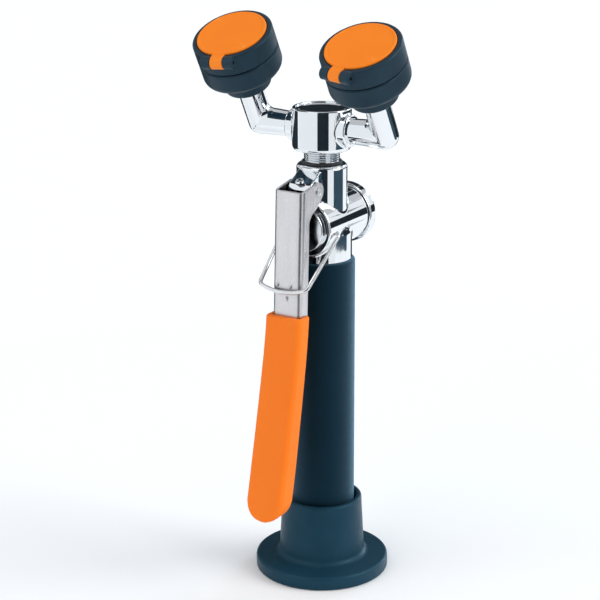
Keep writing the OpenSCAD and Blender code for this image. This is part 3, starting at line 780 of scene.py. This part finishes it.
def lever_channel():
    """Folded sheet: a bent web with two ears round the pin, trimmed to its side outline."""
    half = channel_half
    inner = half - sheet
    deep = 30.0

    def section(z):
        front = lever_front(z)
        return [Vector((x, y + front)) for x, y in rounded([
            (-half, deep, 0), (-half, 0, 3.2), (half, 0, 3.2), (half, deep, 0),
            (inner, deep, 0), (inner, sheet, 0.8), (-inner, sheet, 0.8), (-inner, deep, 0),
        ], closed=True)]

    sheet_bend = swept([web_top + 9, *lever_heights(bend_top, channel_low, 28)], section)
    ear = 5.6
    back = [(lever_front(z) + wall_depth, z) for z in lever_heights(grip_high.z, channel_low, 18)]
    outline = rounded([
        (web_y - 40, channel_low, 0), (web_y - 40, web_top - 6.5, 0), (web_y, web_top, 0),
        *((x, y, 0) for x, y in arc(pin_y, pin_z, ear, 112, -42, 16)),
        (pin_y + 1.2, pin_z - 6.6, 2), (pin_y - 2.3, pin_z - 9.4, 4), (pin_y - 6.7, pin_z - 11.3, 6),
        (web_at(pin_z - 15) + wall_depth, pin_z - 15, 5),
        *((y, z, 0) for y, z in back),
    ], closed=True)
    side = slab(outline, upright(x=-half - 1) @ SIDE_VIEW, 2 * half + 2)
    lever = kept(sheet_bend, side)
    eased(lever, 0.22, 2, 60)
    # Two lanced teeth above the bail's cross wire and one below it
    teeth = []
    for x, z in ((-5.6, pin_z - 51.2), (3.0, pin_z - 51.2), (0.6, pin_z - 59.0)):
        tooth = bmesh.new()
        bmesh.ops.create_cone(tooth, cap_ends=True, segments=24, radius1=1.5, radius2=0.5, depth=2.2)
        bmesh.ops.scale(tooth, vec=(0.75, 1.5, 1), verts=tooth.verts)
        place = upright(x, lever_front(z), z) @ Matrix.Rotation(radians(90), 4, "X")
        bmesh.ops.transform(tooth, matrix=place, verts=tooth.verts)
        teeth.append(eased(tooth, 0.3, 3, 40))
    lever = added(lever, *teeth)
    piece("lever_channel", cut(lever, pin_hole()))


def lever_grip():
    """Dipped grip round the lower lever, with a rounded tip and a soft lip at its top."""
    top, low = grip_high.z, grip_low.z + 1.2
    half = grip_high.x + 0.9
    end_r = 12.6
    lip = 0.9
    tip = 4.0

    def swell(z):
        """How far a rounded end pulls the section in, in millimetres."""
        from_top = max(0.0, lip - (top - z))
        from_low = max(0.0, tip - (z - low))
        return lip - sqrt(lip * lip - from_top * from_top) + tip - sqrt(tip * tip - from_low * from_low)

    def section(z):
        front = lever_front(z)
        back = front + wall_depth + 0.5 + 3 * min(1.0, (top - z) / 90)
        plan = max(0.0, end_r - (z - low))
        wide = half - end_r + sqrt(end_r * end_r - plan * plan)
        pull = min(swell(z), 3.2)
        wide -= 0.9 * min(pull, lip) if plan == 0 else 0
        low_y, high_y = front - 4 + pull, back - pull
        wide = max(wide, 2.2)
        front_r = min(3.6, wide * 0.9)
        back_r = min(4.4, wide * 0.9)
        return rounded([
            (-wide, low_y, front_r), (wide, low_y, front_r),
            (wide, high_y, back_r), (-wide, high_y, back_r),
        ], closed=True, steps=8)

    heights = [top - lip * (1 - cos(radians(turn))) for turn in range(0, 90, 15)]
    heights += lever_heights(top - lip, low + end_r, 30)
    heights += [low + end_r * (1 - sin(radians(turn))) for turn in range(6, 91, 6)]
    grip = swept(heights, section)

    def pocket(z):
        front = lever_front(z) - FIT
        wide = channel_half + FIT
        return [Vector((wide * x, front + y * (wall_depth + 2 * FIT))) for x, y in
                ((-1, 0), (1, 0), (1, 1), (-1, 1))]

    hollow = swept([top + 2, *lever_heights(top, channel_low - FIT, 28)], pocket)
    piece("lever_grip", cut(grip, hollow), sharp=40)


def lever_pin():
    end = span("lever_pin")[1].x
    ear = channel_half + FIT
    half_outline = [(2, ear - 0.4, 0), (3, ear, 0.1), (2.6, end, 0.3), (1.5, end, 0.2),
                    (1.1, end - 0.45, 0.2), (0, end - 0.45, 0)]
    outline = [(r, -x, f) for r, x, f in reversed(half_outline)] + half_outline
    piece("lever_pin", turned(rounded(outline, steps=3), along_x(0, pin_y, pin_z), closed=False, steps=48))


def pin_screw():
    place = upright(0, pin_y - 1.4, pin_z) @ Matrix.Rotation(lug_slope, 4, "X")
    head = 6.6
    screw = turned(rounded([
        (0, 2.6, 0), (1.25, 2.6, 0.3), (1.25, head, 0), (2.6, head, 0.2), (2.5, head + 1.0, 0.6),
        (1.5, head + 1.8, 1.2), (0, head + 1.8, 0),
    ]), place, closed=False, steps=48)
    slot = block((-4, -0.4, head + 1.0), (4, 0.4, head + 3), place)
    piece("pin_screw", cut(screw, slot))


def hold_open_bail():
    """Bent wire whose ends turn in the barrel and whose bow lies on the lever."""
    bow_r = bail_corner + (bail_half - bail_corner) / sin(bail_bow)
    bow_y = -bail_reach + (bail_half - bail_corner) / tan(bail_bow)
    lowest = bail_z - bail_low.z - wire_r
    rest = asin(lowest / (bow_r - bow_y))
    # The legs draw in toward the bow, which hangs a little to the left past the first bends
    draw = 2.2
    lean = 0.065
    first_bend = 4
    corner_x = bail_half - draw - bail_corner
    round_r = bail_corner + corner_x / sin(bail_bow)
    round_y = bow_y - bow_r + round_r
    corner_y = round_y - corner_x / tan(bail_bow)
    half = rounded([(barrel_r - 3.8, 0, 0), (bail_half, 0, 2.2), (bail_half - draw, corner_y, 0)], steps=8)
    half += arc(corner_x, corner_y, bail_corner, -5, -70, 12)[1:]
    half += arc(0, round_y, round_r, -70, -90, 10)[1:]
    route = [Vector((-x, y)) for x, y in half[:-1]] + half[::-1]
    route = [Vector((x + lean * min(0, y + first_bend), y)) for x, y in route]
    curve = bpy.data.curves.new("bail_route", "CURVE")
    curve.dimensions = "3D"
    curve.bevel_depth = wire_r
    curve.bevel_resolution = 6
    curve.use_fill_caps = True
    line = curve.splines.new("POLY")
    line.points.add(len(route) - 1)
    for point, (x, y) in zip(line.points, route):
        point.co = (x, y, 0, 1)
    holder = bpy.data.objects.new("bail_route", curve)
    bpy.context.collection.objects.link(holder)
    bm = bmesh.new()
    bm.from_mesh(holder.evaluated_get(bpy.context.evaluated_depsgraph_get()).to_mesh())
    bpy.data.curves.remove(curve)
    place = upright(0, bail_y, bail_z) @ Matrix.Rotation(rest, 4, "X")
    bmesh.ops.transform(bm, matrix=place, verts=bm.verts)
    piece("hold_open_bail", tidied(bm))


# ---- yoke ----

def outlet_nipple():
    low, high = span("outlet_nipple")
    bore = nipple_r - 2.6
    piece("outlet_nipple", turned(
        rounded([(bore, low.z, 0.3), (nipple_r, low.z, 0.4), (nipple_r, outlet_top + 0.1, 0)])
        + thread(nipple_r, outlet_top + 0.2, manifold_low.z + 0.4, 1.3, 0.75)
        + rounded([(nipple_r, manifold_low.z + 1, 0), (nipple_r, high.z, 0.4), (bore, high.z, 0)]),
        closed=True), sharp=25)


def outlet_seal():
    low, high = span("outlet_seal")
    piece("outlet_seal", turned(rounded([
        (nipple_r + FIT, low.z, 0.2), (high.x, low.z, 0.7), (high.x, high.z, 0.7),
        (nipple_r + FIT, high.z, 0.2),
    ], closed=True)))


def manifold():
    """Round hub with a boss and a port on each side."""
    top = manifold_high.z
    foot = manifold_low.z
    recess = manifold_r - 1.85
    body = turned(rounded([
        (nipple_r + FIT, foot, 0.5), (manifold_r, foot, 3), (manifold_r, top, 1.6),
        (recess, top, 0.4), (recess, top - 3.8, 0.2), (nipple_r - 0.6, top - 3.8, 0.3),
        (nipple_r - 0.6, foot + 7.5, 0.3), (nipple_r + FIT, foot + 7.5, 0),
    ], closed=True))
    hub = []
    for side in SIDES.values():
        place = along_x(0, 0, arm_z)
        hub.append(turned(rounded([
            (0, side * 12.5, 0), (arm_r + 1.5, side * 12.5, 0), (arm_r + 1.5, side * boss_end, 1.2),
            (0, side * boss_end, 0),
        ]), place, closed=False))
    body = added(body, *hub)
    bmesh.ops.remove_doubles(body, verts=body.verts, dist=0.1)

    def at_boss(co):
        return abs(co.z - arm_z) < arm_r + 2.2 and manifold_r - 6 < abs(co.x) < boss_end - 1.4

    eased(body, 0.9, 4, 24, where=at_boss, clamp=False)
    bore = rod(arm_r - 0.95, -boss_end - 1, boss_end + 1, along_x(0, 0, arm_z))
    piece("manifold", sealed(cut(sealed(body), bore)), sharp=38)


def manifold_plug():
    low, high = span("manifold_plug")
    dish = 0.9
    piece("manifold_plug", turned(rounded([
        (0, low.z, 0), (high.x, low.z, 0.3), (high.x, high.z, 0.5), (high.x - 1.6, high.z, 0.5),
        (high.x - 2.4, high.z - 0.35, 0.3), (7, high.z - dish * 0.8, 4), (0, high.z - dish, 0),
    ], steps=8), closed=False))


def elbow(side_name):
    """Arm and riser in one bent tube, square on its outer side and rounded inside the bend."""
    side = SIDES[side_name]
    head = HEADS[side_name]
    corner = head @ Vector((0, 0, -head_rise))
    up = (head.to_3x3() @ Vector((0, 0, 1))).normalized()
    inward = Vector((-side, 0, 0))
    across = inward.cross(up).normalized()
    fillet = 4.2
    points = 56
    bend_steps = 14

    def surface(a, b, bend, radius):
        """Point of the elbow's skin: a outward and b across, at a bend of 0 to 90 degrees."""
        way = -(up * cos(bend) + inward * sin(bend))
        if a >= 0:
            return corner + way * a + across * b
        round_r = fillet * -a / radius
        centre = corner + (up + inward) * (round_r - a)
        return centre + way * round_r + across * b

    def skin(bm, radius_arm, radius_riser, arm_from, riser_to):
        stations = [("arm", arm_from)] + [("bend", step / bend_steps) for step in range(bend_steps + 1)]
        stations += [("riser", 10.0), ("riser", riser_to)]
        rings = []
        edges = []
        for kind, value in stations:
            ease = {"arm": 0.0, "riser": 1.0}.get(kind, value)
            radius = radius_arm + (radius_riser - radius_arm) * ease
            bend = {"arm": 0.0, "riser": pi / 2}.get(kind, value * pi / 2)
            spots = []
            for point in range(points):
                turn = 2 * pi * point / points
                spot = surface(radius * cos(turn), radius * sin(turn), bend, radius)
                run = {"arm": inward, "riser": up}.get(kind)
                if run is not None:
                    spot += run * (value - (spot - corner).dot(run))
                spots.append(spot)
            if not edges:
                ring = [bm.verts.new(spot) for spot in spots]
                edges = [bm.edges.new(pair) for pair in zip(ring, ring[1:] + ring[:1])]
            else:
                grown = bmesh.ops.extrude_edge_only(bm, edges=edges)["geom"]
                ring = [new for new in grown if isinstance(new, bmesh.types.BMVert)]
                edges = [new for new in grown if isinstance(new, bmesh.types.BMEdge)
                         and all(end in ring for end in new.verts)]
                for vert, spot in zip(ring, spots):
                    vert.co = spot
            rings.append(edges)
        return rings[0], rings[-1]

    spigot = 7
    arm_from = abs(corner.x) - boss_end + spigot
    riser_to = head_rise - collar_depth + 8
    bm = bmesh.new()
    outer = skin(bm, arm_r, riser_r, arm_from, riser_to)
    inner = skin(bm, water_way, water_way, arm_from, riser_to)
    for pair in zip(outer, inner):
        bmesh.ops.bridge_loops(bm, edges=[*pair[0], *pair[1]])
    # The spigot is a little smaller, so that it enters the manifold's port
    spigot_r = arm_r - 1
    for vert in bm.verts:
        near_axis = Vector((0, vert.co.y, vert.co.z - arm_z))
        if abs(vert.co.x) < boss_end - spigot + 0.1 and near_axis.length > arm_r - 0.5:
            vert.co.y *= spigot_r / arm_r
            vert.co.z = arm_z + (vert.co.z - arm_z) * spigot_r / arm_r
    piece(f"{side_name}_elbow", tidied(bm), sharp=40)


# ---- spray heads ----

def head_place(side_name):
    """Place of a head: its origin is the middle of the cover's face, its Z axis points out."""
    hinge = JOINTS[f"{side_name}_cover_flip"]
    across = Vector(hinge["axis"]).normalized()
    tilt = atan2(abs(across.z), abs(across.y))
    turn = -SIDES[side_name] * acos(across.x)
    lie = Matrix.Rotation(tilt, 4, "X") @ Matrix.Rotation(turn, 4, "Z")
    face = Vector(hinge["pos_m"]) / MM - lie @ Vector((0, -hinge_out, -hinge_drop))
    return Matrix.Translation(face) @ lie


HEADS = {side_name: head_place(side_name) for side_name in SIDES}


def bowl(side_name):
    skirt = head_r - 2.75
    socket = riser_r + FIT
    base = 0.9 - bowl_depth
    piece(f"{side_name}_bowl", turned(rounded([
        (socket, -collar_depth, 0.4), (collar_r + 0.3, -collar_depth, 1.6), (collar_r + 1.6, base, 0.7),
        (head_r, base, 8.2), (head_r, -parting - 0.95, 0.3), (head_r - 0.7, -parting - 0.3, 0.2),
        (skirt, -parting - 0.3, 0), (skirt, -parting - 5.4, 0), (skirt - 2, -parting - 5.4, 0.3),
        (skirt - 2, -bowl_depth + 6.5, 2), (collar_r - 1.2, -bowl_depth + 2.6, 1),
        (riser_r - 1.2, -bowl_depth + 2.6, 0.3), (riser_r - 1.2, -bowl_depth + 1, 0),
        (socket, -bowl_depth + 1, 0),
    ], closed=True, steps=9), HEADS[side_name]))


def hinge_line(side_name):
    """Place whose Z axis runs along a cover's hinge pin."""
    return HEADS[side_name] @ along_x(0, -hinge_out, -hinge_drop)


def hinge_hole(side_name):
    return rod(hinge_pin_r + FIT, -20, 20, hinge_line(side_name), steps=32)


def knuckles(side_name, half):
    return rod(knuckle_r, -half, half, hinge_line(side_name), edge=0.45, steps=48)


def head_ring(side_name):
    """Upper housing with the cover's recess and the hinge barrels."""
    place = HEADS[side_name]
    skirt = head_r - 2.8
    ledge = pocket_r - 1.8
    recess = cover_r + 0.4
    floor = -4.2
    slit = tongue_half + 0.3
    ring = turned(rounded([
        (ledge, -parting - 4.4, 0.3), (skirt, -parting - 4.4, 0.4), (skirt, -parting + 0.3, 0),
        (head_r - 0.7, -parting + 0.3, 0.2), (head_r, -parting + 0.95, 0.3), (head_r, -1, 2),
        (recess, -1, 0.35), (recess, -1.8, 0), (pocket_r, -1.8, 0.3), (pocket_r, floor, 0),
        (ledge, floor, 0.4),
    ], closed=True), place)
    # Room for the cover's knuckle and its leaf
    notch = [Vector((-hinge_out - 8, 4.3)), Vector((4 - pocket_r, 4.3)), Vector((4 - pocket_r, -1.83)),
             Vector((-pocket_r - 0.6, -1.83)), Vector((-pocket_r - 0.6, -hinge_drop))]
    notch += arc(-hinge_out, -hinge_drop, knuckle_r + 0.3, 0, -180, 20)
    notch += [Vector((-hinge_out - 8, -hinge_drop))]
    barrels = cut(knuckles(side_name, knuckle_end), rod(recess + 0.01, -1.77, 5, place, steps=96))
    ring = cut(
        added(ring, barrels),
        slab(notch, place @ upright(x=-slit) @ SIDE_VIEW, 2 * slit),
        hinge_hole(side_name),
    )
    piece(f"{side_name}_head_ring", sealed(eased(sealed(ring), 0.18, 2, 55, clamp=False)), sharp=38)


def flip_cover(side_name):
    place = HEADS[side_name]
    thick = 1.4
    # The middle lies a little below the rounded rim
    disc = turned(rounded([
        (0, -thick, 0), (cover_r, -thick, 0.3), (cover_r, 0, 0.8), (cover_r - 1.3, 0, 0.6),
        (cover_r - 1.8, -0.22, 0.4), (cover_r - 2.5, -0.22, 0), (9, -0.22, 0), (0, -0.22, 0),
    ], steps=8), place, closed=False)
    leaf = block((-tongue_half + 0.01, -hinge_out - 0.4, -thick + 0.04),
                 (tongue_half - 0.01, 4 - cover_r, -0.24), place)
    cover = cut(added(disc, leaf, knuckles(side_name, tongue_half)), hinge_hole(side_name))
    piece(f"{side_name}_flip_cover", eased(cover, 0.25, 3, 50), sharp=38)


def hinge_pin(side_name):
    pin = rod(hinge_pin_r, -8.4, 8.4, hinge_line(side_name), edge=0.25, steps=32)
    piece(f"{side_name}_hinge_pin", pin)


def spray_plate(side_name):
    place = HEADS[side_name]
    top, low = -2.2, -3.8
    plate = turned(rounded([
        (0, low, 0), (pocket_r - 0.1, low, 0.2), (pocket_r - 0.1, top, 0.4), (0, top, 0),
    ]), place, closed=False)
    spots = [(0, 0)]
    for radius, count in ((6, 6), (12, 12)):
        for number in range(count):
            turn = 2 * pi * number / count
            spots.append((radius * cos(turn), radius * sin(turn)))
    jet_r = 0.8
    mouth_r = 1.4
    jet = rounded([(0, low - 1, 0), (jet_r, low - 1, 0), (jet_r, top - 0.5, 0),
                   (mouth_r, top + 0.1, 0), (0, top + 0.1, 0)])
    jets = [turned(jet, place @ upright(x, y), closed=False, steps=24) for x, y in spots]
    piece(f"{side_name}_spray_plate", sealed(cut(plate, *jets)))


# ---- the whole unit ----

deck_flange()
grip_sleeve()
inlet_adapter()
valve_body()
bonnet_nut()
valve_stem()
rear_cap()
return_spring()
lever_channel()
lever_grip()
lever_pin()
pin_screw()
hold_open_bail()
outlet_nipple()
outlet_seal()
manifold()
manifold_plug()
for name in SIDES:
    elbow(name)
    bowl(name)
    head_ring(name)
    flip_cover(name)
    hinge_pin(name)
    spray_plate(name)

# Inner pieces that keep their CAD shape take their finish
for node, part in frame["nodes"].items():
    part.data.materials.clear()
    part.data.materials.append(FINISHES[SLOT_OF[node]])


# ---- stage, light and camera ----

def plain_shade(name, colour, roughness=1.0, glow=(0, 0, 0), strength=0.0):
    """Even matt colour, which shines by itself if a strength is given."""
    shade = Finish(name, colour, roughness, Emission_Color=(*glow, 1), Emission_Strength=strength)
    return shade.material


def floor():
    bm = bmesh.new()
    bmesh.ops.create_circle(bm, cap_ends=True, segments=96, radius=14.0)
    bmesh.ops.translate(bm, vec=(0, 0, -0.0002), verts=bm.verts)
    mesh = bpy.data.meshes.new("floor")
    bm.to_mesh(mesh)
    bm.free()
    mesh.materials.append(plain_shade("pale_floor", (0.93, 0.935, 0.94), 0.9))
    made = bpy.data.objects.new("floor", mesh)
    bpy.context.collection.objects.link(made)


def reflection_card(name, start, end, low, high, shade):
    """Curved card round the unit, seen only in its polished metal. Angles are in degrees."""
    reach = 0.5
    bm = bmesh.new()
    ends = [bm.verts.new((reach, 0, low)), bm.verts.new((reach, 0, high))]
    line = bm.edges.new(ends)
    bmesh.ops.spin(bm, geom=[*ends, line], cent=(0, 0, 0), axis=(0, 0, 1), dvec=(0, 0, 0),
                   angle=radians(end - start), steps=24, use_merge=False, use_duplicate=False)
    bmesh.ops.rotate(bm, matrix=Matrix.Rotation(radians(start), 3, "Z"), verts=bm.verts)
    mesh = bpy.data.meshes.new(name)
    bm.to_mesh(mesh)
    bm.free()
    mesh.materials.append(shade)
    card = bpy.data.objects.new(name, mesh)
    bpy.context.collection.objects.link(card)
    card.visible_camera = False
    card.visible_diffuse = False
    card.visible_shadow = False
    card.visible_transmission = False


def soft_sun(name, azimuth, elevation, spread, strength, colour=(1, 1, 1)):
    """Wide even light from far away; angles are in degrees."""
    light = bpy.data.lights.new(name, "SUN")
    light.angle = radians(spread)
    light.energy = strength
    light.color = colour
    lamp = bpy.data.objects.new(name, light)
    turn, rise = radians(azimuth), radians(elevation)
    way = Vector((cos(turn) * cos(rise), sin(turn) * cos(rise), sin(rise)))
    lamp.rotation_euler = way.to_track_quat("Z", "Y").to_euler()
    bpy.context.collection.objects.link(lamp)


def studio():
    night = plain_shade("dark_card", (0.003, 0.01, 0.016))
    dusk = plain_shade("slate_card", (0.03, 0.07, 0.1))
    glow = plain_shade("white_card", (0, 0, 0), glow=(0.93, 0.97, 1.0), strength=0.95)
    reflection_card("card_behind_viewer", -76, -33, 0.0, 1.3, night)
    reflection_card("card_left_white", -157, -77, 0.0, 0.9, glow)
    reflection_card("card_right_white", -32, -6, 0.0, 0.9, glow)
    reflection_card("card_right_low", -5, 50, 0.062, 0.2, dusk)
    reflection_card("card_right_bar", 30, 83, 0.15, 0.275, night)
    reflection_card("card_right_high", 25, 96, 0.276, 0.44, glow)
    reflection_card("card_rear_high", 84, 96, 0.441, 0.62, night)
    reflection_card("card_rear_tall", 97, 150, 0.26, 0.62, night)
    reflection_card("card_rear", 84, 197, 0.0, 0.22, night)
    soft_sun("key", 20, 32, 40, 1.7)
    soft_sun("fill", -115, 38, 60, 0.85)
    soft_sun("rear", 80, 14, 30, 1.3, (0.6, 0.85, 1.0))
    world = bpy.data.worlds.new("studio")
    world.use_nodes = True
    bpy.context.scene.world = world
    ground = world.node_tree.nodes["Background"]
    ground.inputs["Color"].default_value = (0.95, 0.97, 1.0, 1)
    ground.inputs["Strength"].default_value = 0.6
    bpy.context.scene.view_settings.view_transform = "Standard"


def camera():
    """Long lens, 32 degrees to the right and 17 degrees above."""
    lens = bpy.data.cameras.new("view")
    lens.lens = 109.48
    lens.sensor_width = 36
    lens.clip_end = 50
    viewer = bpy.data.objects.new("view", lens)
    viewer.location = (0.53086, -0.87381, 0.48814)
    turn = Matrix.Rotation(radians(32), 4, "Z")
    nod = Matrix.Rotation(radians(90 - 17.36), 4, "X")
    roll = Matrix.Rotation(radians(-0.21), 4, "Z")
    viewer.rotation_euler = (turn @ nod @ roll).to_euler()
    bpy.context.collection.objects.link(viewer)
    bpy.context.scene.camera = viewer


floor()
studio()
camera()
